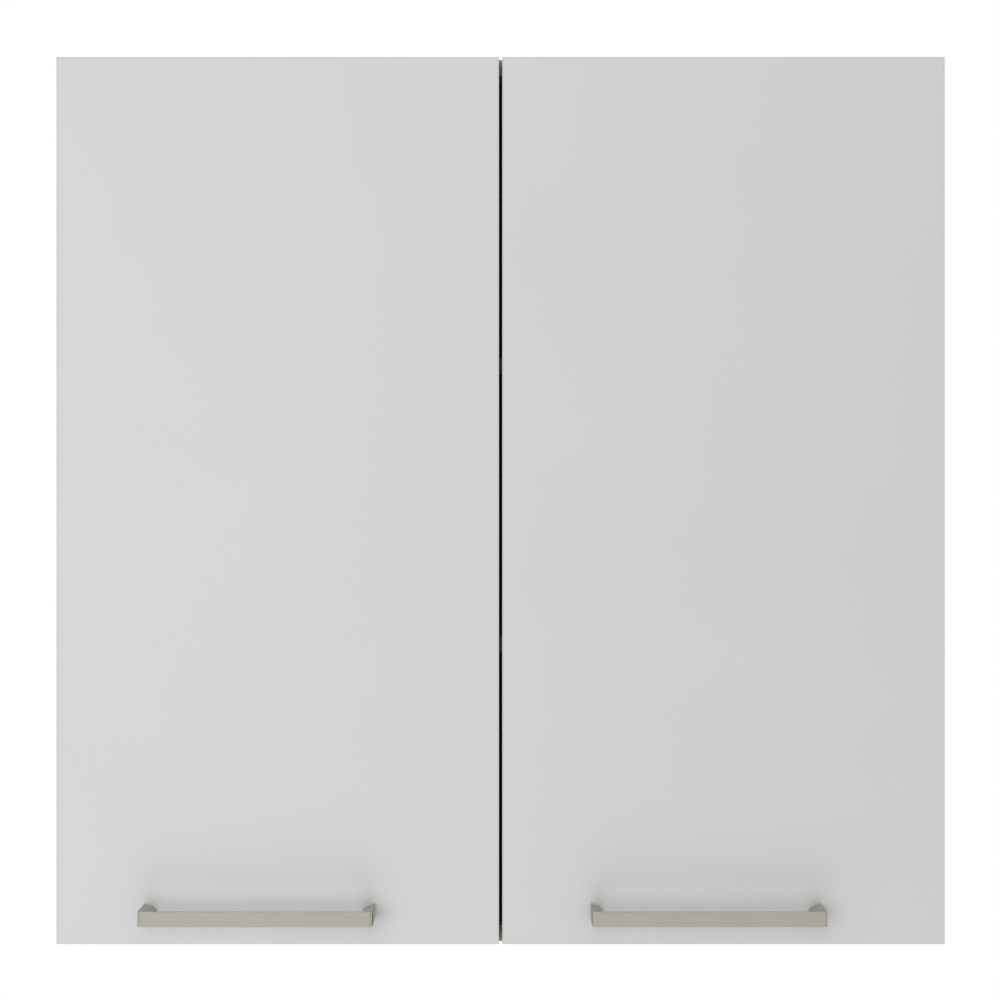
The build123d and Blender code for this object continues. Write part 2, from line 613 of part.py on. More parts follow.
for side_name, side in sides.items():
    outward = (side, 0, 0)
    open_places = [from_side(side, *open_pivot_place(door_opening * step / 6)) for step in range(7)]
    for level, z in hinge_zs.items():
        name = f"{side_name}_{level}"

        with BuildPart() as hinge_plate:
            block((*from_side(side, wall_face_u, plate_front_v), z - plate_half_height),
                  (*from_side(side, wall_face_u + plate_thickness, plate_rear_v), z + plate_half_height))
            fillet(hinge_plate.edges().filter_by(Axis.X), plate_corner_radius)
            block((*from_side(side, wall_face_u, -rail_front), z - arm_bay + fit),
                  (*from_side(side, rail_top_u, -rail_rear), z + arm_bay - fit))
            screw_x, screw_y = from_side(side, wall_face_u + plate_thickness, -front_row_setback)
            bore([(screw_x, screw_y, z + sign * hole_pitch / 2) for sign in (-1, 1)],
                 outward, euro_screw_radius + fit, plate_thickness)
            bore([(*from_side(side, rail_top_u, -setback), z) for setback in arm_screw_setbacks],
                 outward, screw_radius + running_fit, arm_screw_bite + blind_gap)
        save(hinge_plate, f"hinge_plate_{name}")

        with BuildPart() as hinge_arm:
            with BuildSketch(Plane.XY.offset(z)):
                with Locations(*(from_side(side, *pivot) for pivot in (long_arm_pivot, short_arm_pivot))):
                    Circle(arm_boss_radius)
                with Locations(from_side(side, (arm_wall_u + arm_back_u) / 2, arm_wall / 2 - arm_front)):
                    Rectangle(arm_back_u - arm_wall_u, arm_wall)
                make_hull()
            extrude(amount=arm_half_height, both=True)
            block((*from_side(side, arm_wall_u, -arm_front), z - arm_half_height),
                  (*from_side(side, arm_back_u, -arm_rear), z + arm_half_height))
            block((*from_side(side, wall_face_u, cup_bore_depth), z - arm_bay),
                  (*from_side(side, wall_face_u + arm_open_width, -arm_front), z + arm_bay),
                  mode=Mode.SUBTRACT)
            block((*from_side(side, wall_face_u, -arm_front), z - arm_bay),
                  (*from_side(side, arm_back_u - arm_wall, -arm_rear), z + arm_bay), mode=Mode.SUBTRACT)
            pivots = [from_side(side, *pivot) for pivot in (long_arm_pivot, short_arm_pivot)]
            bore([(*pivot, z - arm_half_height) for pivot in pivots], (0, 0, 1),
                 hinge_pin_radius + running_fit, 2 * arm_half_height)
            bore([(*from_side(side, arm_back_u, -setback), z) for setback in arm_screw_setbacks],
                 outward, screw_radius + fit, arm_wall)
        save(hinge_arm, f"hinge_arm_{name}")

        with BuildPart() as hinge_cup:
            block((*from_side(side, door_side_reveal + flange_start, -flange_thickness + door_standoff),
                   z - flange_half_height),
                  (*from_side(side, door_side_reveal + flange_end, door_standoff), z + flange_half_height))
            fillet(hinge_cup.edges().filter_by(Axis.Y), flange_corner_radius)
            cup_x, _ = from_side(side, cup_centre_u, 0)
            rods([(cup_x, door_back_y, z)], (0, -1, 0), cup_bore_radius - fit, cup_depth)
            block((*from_side(side, slot_start_u, door_standoff - flange_thickness), z - lever_bay),
                  (*from_side(side, slot_end_u, door_standoff + cup_depth - cup_floor), z + lever_bay),
                  mode=Mode.SUBTRACT)
            bore([(*from_side(side, *long_cup_pivot), z - cup_pin_half_length)], (0, 0, 1),
                 hinge_pin_radius + running_fit, 2 * cup_pin_half_length)
            with BuildSketch(Plane.XY.offset(z)):
                with Locations(*open_places):
                    Circle(hinge_pin_radius + open_pivot_play)
                make_hull()
            extrude(amount=cup_pin_half_length + open_pivot_play, both=True, mode=Mode.SUBTRACT)
            cup_screw_x, _ = from_side(side, cup_screw_u, 0)
            seats = [(cup_screw_x, door_back_y + flange_thickness, z + sign * cup_screw_spread)
                     for sign in (-1, 1)]
            bore(seats, (0, -1, 0), cup_screw_radius + fit, flange_thickness)
        save(hinge_cup, f"hinge_cup_{name}")

        long_spine = bowed_arc(side, long_arm_pivot, long_cup_pivot, long_lever_bow)
        with BuildPart() as long_lever:
            with BuildSketch(Plane.XY.offset(z)):
                SlotArc(long_spine, 2 * lever_half_width)
                with Locations(*(from_side(side, *pivot) for pivot in (long_arm_pivot, long_cup_pivot))):
                    Circle(hinge_pin_radius + running_fit, mode=Mode.SUBTRACT)
            extrude(amount=long_lever_half_height, both=True)
        save(long_lever, f"hinge_long_lever_{name}")

        short_spine = bowed_arc(side, short_arm_pivot, short_cup_pivot, short_lever_bow)
        with BuildPart() as short_levers:
            for sign in (-1, 1):
                with BuildSketch(Plane.XY.offset(z + sign * short_lever_inner)):
                    SlotArc(short_spine, 2 * lever_half_width)
                    with Locations(from_side(side, *short_arm_pivot)):
                        Circle(hinge_pin_radius + running_fit, mode=Mode.SUBTRACT)
                extrude(amount=sign * (short_lever_outer - short_lever_inner))
                stub = (*from_side(side, *short_cup_pivot), z + sign * short_lever_inner)
                rods([stub], (0, 0, sign), hinge_pin_radius, cup_pin_half_length - short_lever_inner)
        save(short_levers, f"hinge_short_levers_{name}")

for side_name, side in sides.items():
    with BuildPart() as cup_pins:
        starts = [(*from_side(side, *long_cup_pivot), z - cup_pin_half_length) for z in hinge_zs.values()]
        rods(starts, (0, 0, 1), hinge_pin_radius, 2 * cup_pin_half_length)
    save(cup_pins, f"hinge_cup_pins_{side_name}")

    with BuildPart() as cup_screws:
        cup_screw_x, _ = from_side(side, cup_screw_u, 0)
        seats = [(cup_screw_x, door_back_y + flange_thickness, z) for z in cup_screw_spots]
        rods(seats, (0, 1, 0), cup_screw_head_radius, cup_screw_head_height)
        rods(seats, (0, -1, 0), cup_screw_radius, flange_thickness + cup_screw_length)
    save(cup_screws, f"hinge_cup_screws_{side_name}")

with BuildPart() as arm_pins:
    for side in sides.values():
        for z in hinge_zs.values():
            starts = [(*from_side(side, *pivot), z - arm_half_height)
                      for pivot in (long_arm_pivot, short_arm_pivot)]
            rods(starts, (0, 0, 1), hinge_pin_radius, 2 * arm_half_height)
save(arm_pins, "hinge_arm_pins")

with BuildPart() as plate_screws:
    for side in sides.values():
        seats = [(*from_side(side, wall_face_u + plate_thickness, -front_row_setback), z)
                 for z in plate_screw_zs]
        rods(seats, (-side, 0, 0), euro_head_radius, euro_head_height)
        rods(seats, (side, 0, 0), euro_screw_radius, plate_thickness + euro_screw_bite)
        heads = [(x - side * euro_head_height, y, z) for x, y, z in seats]
        cross_recess(heads, (side, 0, 0))
save(plate_screws, "hinge_plate_screws")

with BuildPart() as arm_screws:
    for side in sides.values():
        seats = [
            (*from_side(side, arm_back_u, -setback), z)
            for setback in arm_screw_setbacks
            for z in hinge_zs.values()
        ]
        rods(seats, (-side, 0, 0), arm_head_radius, arm_head_height)
        rods(seats, (side, 0, 0), screw_radius, arm_wall + rail_gap + arm_screw_bite)
        cross_recess([(x - side * arm_head_height, y, z) for x, y, z in seats], (side, 0, 0))
save(arm_screws, "hinge_arm_screws")
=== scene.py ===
"""Looks of a hanging wall cabinet: oak-decor carcass, two light-grey slab doors, bar handles.

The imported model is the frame. Boards, edging and hanging hardware are rebuilt from its meshes with
eased edges, handles and door pads are built here, and every piece gets its own finish.
"""
from __future__ import annotations

import json
import logging
import math
from dataclasses import dataclass, replace
from enum import Enum
from typing import Any, Mapping, Sequence

import bmesh
import bpy
from mathutils import Matrix, Vector


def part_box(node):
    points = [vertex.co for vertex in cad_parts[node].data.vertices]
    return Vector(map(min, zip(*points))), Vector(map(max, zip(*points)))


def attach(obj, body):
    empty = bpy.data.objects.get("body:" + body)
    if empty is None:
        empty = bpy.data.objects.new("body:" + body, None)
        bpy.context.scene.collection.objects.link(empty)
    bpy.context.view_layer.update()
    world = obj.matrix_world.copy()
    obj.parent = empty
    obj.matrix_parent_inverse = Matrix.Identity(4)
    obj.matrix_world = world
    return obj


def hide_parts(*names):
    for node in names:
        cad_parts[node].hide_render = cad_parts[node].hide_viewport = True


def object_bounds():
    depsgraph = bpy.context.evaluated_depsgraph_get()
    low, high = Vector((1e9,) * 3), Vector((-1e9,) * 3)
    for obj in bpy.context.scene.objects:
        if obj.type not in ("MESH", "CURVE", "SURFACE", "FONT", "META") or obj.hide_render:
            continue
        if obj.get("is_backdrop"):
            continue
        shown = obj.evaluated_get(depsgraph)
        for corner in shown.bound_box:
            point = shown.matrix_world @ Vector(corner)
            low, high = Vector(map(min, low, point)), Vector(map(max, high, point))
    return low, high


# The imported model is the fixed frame, and its box is kept before anything is added.
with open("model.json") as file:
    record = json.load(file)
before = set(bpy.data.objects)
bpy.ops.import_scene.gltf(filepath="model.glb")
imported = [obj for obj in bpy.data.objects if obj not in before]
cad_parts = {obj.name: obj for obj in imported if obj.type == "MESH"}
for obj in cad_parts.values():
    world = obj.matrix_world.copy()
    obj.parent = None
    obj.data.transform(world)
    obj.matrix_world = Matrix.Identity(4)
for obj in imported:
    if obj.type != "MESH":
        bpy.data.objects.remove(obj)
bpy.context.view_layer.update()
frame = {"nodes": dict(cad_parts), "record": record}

LOG = logging.getLogger("wall_cabinet")
MM = 0.001
Point = tuple[float, float, float]

# Points of a mesh that are closer than this become one.
SEAM_MM = 0.002
# Faces that turn less than this from each other become one flat face.
FLAT_DEGREES = 0.5
# Outward edges that turn more than this are eased.
TURN_DEGREES = 40.0
# Edges of an eased piece that still turn more than this look crisp.
EASED_DEGREES = 50.0

# Oak decor of the boards and the back: lightest, main and darkest colour of the grain.
OAK_LIGHT = "C79F73"
OAK_MIDDLE = "B68D60"
OAK_DARK = "9A7048"
# Doors and their edging.
DOOR_GREY = "ACACAC"

# A face looks along an axis where its normal's share there is at least this.
FACING = 0.6
# Ways of mixing two colours.
BLEND = {"data_type": "RGBA"}
DARKEN = {"data_type": "RGBA", "blend_type": "MULTIPLY"}


class Side(Enum):
    """Side of the cabinet, seen from the front."""

    LEFT = "left"
    RIGHT = "right"


class Level(Enum):
    """Lower or upper one of two."""

    LOWER = "lower"
    UPPER = "upper"


class Grain(Enum):
    """Way that a board's grain runs, as the stretch of the pattern along X, Y and Z."""

    UPRIGHT = (1.0, 1.0, 0.02)
    ACROSS = (0.02, 1.0, 1.0)


class Face(Enum):
    """Axis that a board's decorated faces look along."""

    SIDEWAYS = "X"
    UPWARDS = "Z"


# ---------------------------------------------------------------- node and colour tools


def linear(code: str) -> tuple[float, float, float, float]:
    """Turns an sRGB hex colour to a linear one.

    Args:
        code: six hex digits, red first.

    Returns:
        The linear red, green and blue, and an alpha of 1.
    """
    values = [int(code[i : i + 2], 16) / 255 for i in (0, 2, 4)]
    red, green, blue = (v / 12.92 if v <= 0.04045 else ((v + 0.055) / 1.055) ** 2.4 for v in values)
    return (red, green, blue, 1.0)


def set_ramp(node: bpy.types.Node, stops: Sequence[tuple[float, Sequence[float]]]) -> None:
    """Gives a colour ramp its stops.

    Args:
        node: the ramp node.
        stops: position and linear colour of each stop, in order.
    """
    elements = node.color_ramp.elements
    while len(elements) < len(stops):
        elements.new(1.0)
    for element, (place, colour) in zip(elements, stops):
        element.position = place
        element.color = colour


def add_node(
    tree: bpy.types.NodeTree,
    kind: str,
    settings: Mapping[str | int, Any] | None = None,
    links: Mapping[str | int, bpy.types.NodeSocket] | None = None,
) -> bpy.types.Node:
    """Adds a shader node, sets it up and links its inputs.

    Args:
        tree: node tree that gets the node.
        kind: type of the node without its ShaderNode prefix.
        settings: values by property name, input name or input number; a ramp's stops by "stops".
        links: sockets that feed the node, by input name or input number.

    Returns:
        The new node.
    """
    node = tree.nodes.new("ShaderNode" + kind)
    for key, value in (settings or {}).items():
        if key == "stops":
            set_ramp(node, value)
        elif isinstance(key, str) and hasattr(node, key):
            setattr(node, key, value)
        else:
            node.inputs[key].default_value = value
    for key, socket in (links or {}).items():
        tree.links.new(socket, node.inputs[key])
    return node


def shade(code: str, share: float) -> tuple[float, float, float, float]:
    """Darkens or lightens an sRGB hex colour.

    Args:
        code: six hex digits, red first.
        share: factor on its linear values.

    Returns:
        The linear colour.
    """
    red, green, blue, alpha = linear(code)
    return (red * share, green * share, blue * share, alpha)


def grey(value: float) -> tuple[float, float, float, float]:
    """Gives the linear grey of a value."""
    return (value, value, value, 1.0)


# ---------------------------------------------------------------- finishes


@dataclass(frozen=True)
class Coat:
    """The nodes of one material, while a finish is laid on it.

    Attributes:
        tree: the node tree.
        shader: its shader.
        spot: coordinates of the patterns, in metres.
        normal: way that the surface faces.
    """

    tree: bpy.types.NodeTree
    shader: bpy.types.Node
    spot: bpy.types.NodeSocket
    normal: bpy.types.NodeSocket

    def blotches(
        self,
        size_mm: float,
        stretch: Sequence[float] = (1.0, 1.0, 1.0),
        detail: float = 3.0,
        distortion: float = 0.0,
    ) -> bpy.types.NodeSocket:
        """Makes an uneven pattern of a real size.

        Args:
            size_mm: size of one blotch.
            stretch: how dense the pattern is along each axis; less draws it out.
            detail: number of finer layers.
            distortion: how far it is stirred.

        Returns:
            The pattern, from 0 to 1.
        """
        dense = [share / (size_mm * MM) for share in stretch]
        spread = add_node(self.tree, "Mapping", {"Scale": dense}, {"Vector": self.spot})
        look = {"Scale": 1.0, "Detail": detail, "Roughness": 0.55, "Distortion": distortion}
        return add_node(self.tree, "TexNoise", look, {"Vector": spread.outputs["Vector"]}).outputs["Fac"]

    def tint(
        self, pattern: bpy.types.NodeSocket, stops: Sequence[tuple[float, Sequence[float]]]
    ) -> None:
        """Lets the colour follow a pattern.

        Args:
            pattern: pattern from 0 to 1.
            stops: position and linear colour of each stop, in order.
        """
        made = add_node(self.tree, "ValToRGB", {"stops": stops}, {"Fac": pattern})
        self.tree.links.new(made.outputs["Color"], self.shader.inputs["Base Color"])

    def bump(self, height: bpy.types.NodeSocket, depth_mm: float) -> None:
        """Raises the surface by a height pattern.

        Args:
            height: pattern from 0 to 1.
            depth_mm: height of the pattern's full swing.
        """
        swing = {"Strength": 1.0, "Distance": depth_mm * MM}
        made = add_node(self.tree, "Bump", swing, {"Height": height})
        self.tree.links.new(made.outputs["Normal"], self.shader.inputs["Normal"])

    def vary(self, pattern: bpy.types.NodeSocket, low: float, high: float) -> None:
        """Lets roughness follow a pattern.

        Args:
            pattern: pattern from 0 to 1.
            low: roughness at 0.
            high: roughness at 1.
        """
        made = add_node(self.tree, "MapRange", {"To Min": low, "To Max": high}, {"Value": pattern})
        self.tree.links.new(made.outputs["Result"], self.shader.inputs["Roughness"])


@dataclass(frozen=True)
class Finish:
    """A surface: one material, named for what it is made of and how.

    Attributes:
        name: material's name.
        colour: its main sRGB hex colour.
        roughness: of the surface.
        metallic: 1 for bare metal.
        ior: index of refraction; a metal keeps the default.
    """

    name: str
    colour: str
    roughness: float = 0.5
    metallic: float = 0.0
    ior: float = 1.5

    def material(self) -> bpy.types.Material:
        """Makes the material once.

        Returns:
            The material, which is the same one at every call.
        """
        found = bpy.data.materials.get(self.name)
        if found:
            return found
        made = bpy.data.materials.new(self.name)
        made.use_nodes = True
        tree = made.node_tree
        tree.nodes.clear()
        shader = add_node(tree, "BsdfPrincipled", self.shader_values())
        output = add_node(tree, "OutputMaterial")
        tree.links.new(shader.outputs["BSDF"], output.inputs["Surface"])
        place = add_node(tree, "TexCoord")
        self.paint(Coat(tree, shader, place.outputs["Object"], place.outputs["Normal"]))
        return made

    def shader_values(self) -> dict[str | int, Any]:
        """Lists the shader's constants.

        Returns:
            Values by input name.
        """
        values: dict[str | int, Any] = {
            "Base Color": linear(self.colour),
            "Roughness": self.roughness,
            "Metallic": self.metallic,
        }
        if not self.metallic:
            values["IOR"] = self.ior
        return values

    def paint(self, coat: Coat) -> None:
        """Adds the surface's own detail; a plain finish has none.

        Args:
            coat: the material.
        """


@dataclass(frozen=True)
class SprayedLacquer(Finish):
    """Matt lacquer sprayed on board: even colour, with a faint orange peel in the highlight.

    Attributes:
        peel_mm: width of the peel's bumps.
        peel_depth_mm: their height.
        drift_mm: size of the areas that differ slightly in shade.
    """

    peel_mm: float = 1.6
    peel_depth_mm: float = 0.004
    drift_mm: float = 160.0

    def paint(self, coat: Coat) -> None:
        """Adds a slow drift of shade and the peel.

        Args:
            coat: the material.
        """
        drift = coat.blotches(self.drift_mm, detail=2.0)
        stops = [(0.3, shade(self.colour, 0.992)), (0.7, shade(self.colour, 1.006))]
        coat.tint(drift, stops)
        peel = coat.blotches(self.peel_mm, detail=2.0)
        coat.vary(peel, self.roughness - 0.04, self.roughness + 0.04)
        coat.bump(peel, self.peel_depth_mm)


@dataclass(frozen=True)
class OakMelamine(Finish):
    """Melamine-faced chipboard, embossed oak decor: streaked colour, fine dark pores, dull sheen.

    Faces that look another way than the decor show the pressed chips of the core.

    Attributes:
        grain: way that the grain runs.
        face: axis of the decorated faces, or None where all of it is decor.
        between_mm: where set, the grain runs across up to this far from the middle, as on rails.
        light: lightest colour of the grain.
        dark: its darkest colour.
        core: colour of the core's chips.
        core_dark: colour between the chips.
        core_light: colour of its lightest chips.
        streak_mm: width of a streak.
        band_mm: width of a broad band of shade.
        pore_mm: width of a pore, coarser than the real 0.2 mm so that it shows.
        chip_mm: size of a chip.
        emboss_mm: depth of the embossing.
    """

    ior: float = 1.56
    roughness: float = 0.48
    grain: Grain = Grain.UPRIGHT
    face: Face | None = None
    between_mm: float | None = None
    light: str = OAK_LIGHT
    dark: str = OAK_DARK
    core: str = "C9AC83"
    core_dark: str = "8C6A45"
    core_light: str = "E0C8A0"
    streak_mm: float = 9.0
    band_mm: float = 42.0
    pore_mm: float = 0.7
    chip_mm: float = 2.4
    emboss_mm: float = 0.05

    def paint(self, coat: Coat) -> None:
        """Adds grain, pores and the core.

        Args:
            coat: the material.
        """
        if self.between_mm is not None:
            coat = replace(coat, spot=self.turn_between(coat))
        along = self.grain.value
        bands = coat.blotches(self.band_mm, along, detail=2.0, distortion=0.6)
        streaks = coat.blotches(self.streak_mm, along, detail=6.0, distortion=0.3)
        pores = coat.blotches(self.pore_mm, [v if v == 1.0 else 0.05 for v in along], detail=2.0)
        dark, middle, light = (linear(code) for code in (self.dark, self.colour, self.light))
        ramps = (
            (bands, [(0.35, dark), (0.62, light)]),
            (streaks, [(0.35, dark), (0.5, middle), (0.68, light)]),
            (pores, [(0.34, grey(0.45)), (0.46, grey(1.0))]),
        )
        broad, fine, pits = (
            add_node(coat.tree, "ValToRGB", {"stops": stops}, {"Fac": pattern}).outputs["Color"]
            for pattern, stops in ramps
        )
        print_only = add_node(coat.tree, "Mix", {**BLEND, 0: 0.65}, {6: broad, 7: fine}).outputs[2]
        wood = add_node(coat.tree, "Mix", {**DARKEN, 0: 0.7}, {6: print_only, 7: pits}).outputs[2]
        height = add_node(coat.tree, "RGBToBW", links={"Color": pits}).outputs["Val"]
        if self.face is not None:
            looks = add_node(coat.tree, "SeparateXYZ", links={"Vector": coat.normal}).outputs
            turned = add_node(coat.tree, "Math", {"operation": "ABSOLUTE"}, {0: looks[self.face.value]})
            aside = {"operation": "LESS_THAN", 1: FACING}
            cut = add_node(coat.tree, "Math", aside, {0: turned.outputs["Value"]}).outputs["Value"]
            core, tone = self.chips(coat)
            wood = add_node(coat.tree, "Mix", BLEND, {0: cut, 6: wood, 7: core}).outputs[2]
            heights = {0: cut, 2: height, 3: tone}
            height = add_node(coat.tree, "Mix", {"data_type": "FLOAT"}, heights).outputs[0]
        coat.tree.links.new(wood, coat.shader.inputs["Base Color"])
        coat.vary(streaks, self.roughness - 0.06, self.roughness + 0.08)
        coat.bump(height, self.emboss_mm)

    def chips(self, coat: Coat) -> tuple[bpy.types.NodeSocket, bpy.types.NodeSocket]:
        """Makes the pressed chips of a sawn edge.

        Args:
            coat: the material.

        Returns:
            The chips' colour, and their height from 0 to 1.
        """
        cells = {"Scale": 1 / (self.chip_mm * MM), "Randomness": 1.0}
        chips = add_node(coat.tree, "TexVoronoi", cells, {"Vector": coat.spot})
        grit = coat.blotches(self.chip_mm / 2, detail=4.0)
        shown = add_node(coat.tree, "RGBToBW", links={"Color": chips.outputs["Color"]}).outputs["Val"]
        halved = {"operation": "MULTIPLY_ADD", 1: 0.5, 2: 0.25}
        tone = add_node(coat.tree, "Math", halved, {0: shown}).outputs["Value"]
        dark, middle, light = (linear(code) for code in (self.core_dark, self.core, self.core_light))
        large_stops = [(0.2, dark), (0.5, middle), (0.8, light)]
        large = add_node(coat.tree, "ValToRGB", {"stops": large_stops}, {"Fac": tone})
        small = add_node(coat.tree, "ValToRGB", {"stops": [(0.3, dark), (0.6, middle)]}, {"Fac": grit})
        links = {6: large.outputs["Color"], 7: small.outputs["Color"]}
        return add_node(coat.tree, "Mix", {**BLEND, 0: 0.4}, links).outputs[2], tone

    def turn_between(self, coat: Coat) -> bpy.types.NodeSocket:
        """Swaps the X and Z coordinates near the middle.

        Args:
            coat: the material.

        Returns:
            The coordinates with the middle turned.
        """
        parts = add_node(coat.tree, "SeparateXYZ", links={"Vector": coat.spot}).outputs
        ways = {"X": parts["Z"], "Y": parts["Y"], "Z": parts["X"]}
        swapped = add_node(coat.tree, "CombineXYZ", links=ways)
        aside = add_node(coat.tree, "Math", {"operation": "ABSOLUTE"}, {0: parts["X"]}).outputs["Value"]
        near = add_node(coat.tree, "Math", {"operation": "LESS_THAN", 1: self.between_mm * MM}, {0: aside})
        turned = {0: near.outputs["Value"], 4: coat.spot, 5: swapped.outputs["Vector"]}
        return add_node(coat.tree, "Mix", {"data_type": "VECTOR"}, turned).outputs[1]


@dataclass(frozen=True)
class FibreBoard(Finish):
    """Thin hard fibre board with a printed front: smooth print inside, rough brown fibres behind.

    Attributes:
        light: lightest colour of the print.
        dark: its darkest colour.
        rear: colour of the fibres.
        rear_dark: colour between them.
        streak_mm: width of the print's streaks.
        fibre_mm: size of a tuft of fibres, coarser than the real 0.3 mm so that it shows.
        depth_mm: height of the fibres.
    """

    roughness: float = 0.6
    light: str = OAK_LIGHT
    dark: str = OAK_DARK
    rear: str = "7A5638"
    rear_dark: str = "5A3D26"
    streak_mm: float = 9.0
    fibre_mm: float = 1.5
    depth_mm: float = 0.08

    def paint(self, coat: Coat) -> None:
        """Adds the print's grain and the rear's fibres.

        Args:
            coat: the material.
        """
        streaks = coat.blotches(self.streak_mm, Grain.UPRIGHT.value, detail=6.0, distortion=0.3)
        stops = [(0.35, linear(self.dark)), (0.5, linear(self.colour)), (0.68, linear(self.light))]
        front = add_node(coat.tree, "ValToRGB", {"stops": stops}, {"Fac": streaks})
        fibres = coat.blotches(self.fibre_mm, detail=6.0, distortion=1.2)
        stops = [(0.35, linear(self.rear_dark)), (0.65, linear(self.rear))]
        rear = add_node(coat.tree, "ValToRGB", {"stops": stops}, {"Fac": fibres})
        looks = add_node(coat.tree, "SeparateXYZ", links={"Vector": coat.normal}).outputs
        behind = add_node(coat.tree, "Math", {"operation": "GREATER_THAN", 1: -FACING}, {0: looks["Y"]})
        links = {0: behind.outputs["Value"], 6: front.outputs["Color"], 7: rear.outputs["Color"]}
        both_sides = add_node(coat.tree, "Mix", BLEND, links).outputs[2]
        coat.tree.links.new(both_sides, coat.shader.inputs["Base Color"])
        coat.vary(fibres, self.roughness - 0.05, self.roughness + 0.15)
        coat.bump(fibres, self.depth_mm)


@dataclass(frozen=True)
class GroundMetal(Finish):
    """Metal ground in one direction: sheen that is drawn out across the lines.

    Attributes:
        along: density of the lines along each axis.
        line_mm: spacing of the lines, coarser than the real 0.05 mm so that they show.
        spread: how much roughness differs between lines.
        depth_mm: depth of the lines.
        cloud_mm: size of the clouds in its shade.
    """

    metallic: float = 1.0
    roughness: float = 0.18
    along: tuple[float, float, float] = (1.0, 1.0, 0.05)
    line_mm: float = 0.2
    spread: float = 0.08
    depth_mm: float = 0.003
    cloud_mm: float = 22.0

    def paint(self, coat: Coat) -> None:
        """Adds the lines and a faint cloud in the metal.

        Args:
            coat: the material.
        """
        lines = coat.blotches(self.line_mm, self.along, detail=3.0)
        cloud = coat.blotches(self.cloud_mm, detail=2.0)
        shades = {**BLEND, 6: linear(self.colour), 7: shade(self.colour, 0.94)}
        body = add_node(coat.tree, "Mix", shades, {0: cloud}).outputs[2]
        stops = [(0.3, grey(0.93)), (0.7, grey(1.0))]
        strokes = add_node(coat.tree, "ValToRGB", {"stops": stops}, {"Fac": lines}).outputs["Color"]
        drawn = add_node(coat.tree, "Mix", {**DARKEN, 0: 1.0}, {6: body, 7: strokes})
        coat.tree.links.new(drawn.outputs[2], coat.shader.inputs["Base Color"])
        coat.vary(lines, self.roughness - self.spread, self.roughness + self.spread)
        coat.bump(lines, self.depth_mm)


@dataclass(frozen=True)
class SteelEffectLacquer(Finish):
    """Zinc casting under a sprayed lacquer full of metal flakes: satin, and even from every side.

    Attributes:
        flake_mm: size of the flakes' glitter, coarser than the real 0.05 mm so that it shows.
        depth_mm: height of the flakes.
        cloud_mm: size of the clouds in its shade.
    """

    metallic: float = 0.2
    roughness: float = 0.55
    flake_mm: float = 0.4
    depth_mm: float = 0.002
    cloud_mm: float = 30.0

    def paint(self, coat: Coat) -> None:
        """Adds the flakes' glitter and slow clouds.

        Args:
            coat: the material.
        """
        flakes = coat.blotches(self.flake_mm, detail=1.0)
        clouds = coat.blotches(self.cloud_mm, detail=2.0)
        stops = [(0.3, shade(self.colour, 0.975)), (0.7, shade(self.colour, 1.02))]
        body = add_node(coat.tree, "ValToRGB", {"stops": stops}, {"Fac": clouds}).outputs["Color"]
        stops = [(0.35, grey(0.96)), (0.65, grey(1.0))]
        sparks = add_node(coat.tree, "ValToRGB", {"stops": stops}, {"Fac": flakes}).outputs["Color"]
        glitter = add_node(coat.tree, "Mix", {**DARKEN, 0: 1.0}, {6: body, 7: sparks})
        coat.tree.links.new(glitter.outputs[2], coat.shader.inputs["Base Color"])
        coat.vary(flakes, self.roughness - 0.06, self.roughness + 0.06)
        coat.bump(flakes, self.depth_mm)


@dataclass(frozen=True)
class PlatedSteel(Finish):
    """Zinc- or nickel-plated metal from a tumbling barrel: bright, with soft clouds and small dings.

    Attributes:
        cloud_mm: size of the clouds.
        ding_mm: width of the dings.
        depth_mm: depth of the dings.
    """

    metallic: float = 1.0
    roughness: float = 0.26
    cloud_mm: float = 6.0
    ding_mm: float = 0.9
    depth_mm: float = 0.006

    def paint(self, coat: Coat) -> None:
        """Adds clouds and dings.

        Args:
            coat: the material.
        """
        clouds = coat.blotches(self.cloud_mm, detail=4.0)
        dings = coat.blotches(self.ding_mm, detail=2.0)
        stops = [(0.3, shade(self.colour, 0.86)), (0.7, linear(self.colour))]
        coat.tint(clouds, stops)
        coat.vary(clouds, self.roughness - 0.06, self.roughness + 0.1)
        coat.bump(dings, self.depth_mm)


@dataclass(frozen=True)
class HotDipSheet(Finish):
    """Hot-dip galvanised sheet: crystals of zinc that each catch the light a little differently.

    Attributes:
        crystal_mm: size of a crystal.
        ripple_mm: width of the zinc's ripples.
        depth_mm: their height.
    """

    metallic: float = 1.0
    roughness: float = 0.38
    crystal_mm: float = 5.0
    ripple_mm: float = 1.2
    depth_mm: float = 0.008

    def paint(self, coat: Coat) -> None:
        """Adds the crystals.

        Args:
            coat: the material.
        """
        dense = {"Scale": 1 / (self.crystal_mm * MM)}
        cells = add_node(coat.tree, "TexVoronoi", dense, {"Vector": coat.spot})
        tone = add_node(coat.tree, "RGBToBW", links={"Color": cells.outputs["Color"]}).outputs["Val"]
        stops = [(0.2, shade(self.colour, 0.72)), (0.8, linear(self.colour))]
        coat.tint(tone, stops)
        coat.vary(tone, self.roughness - 0.1, self.roughness + 0.12)
        coat.bump(coat.blotches(self.ripple_mm), self.depth_mm)


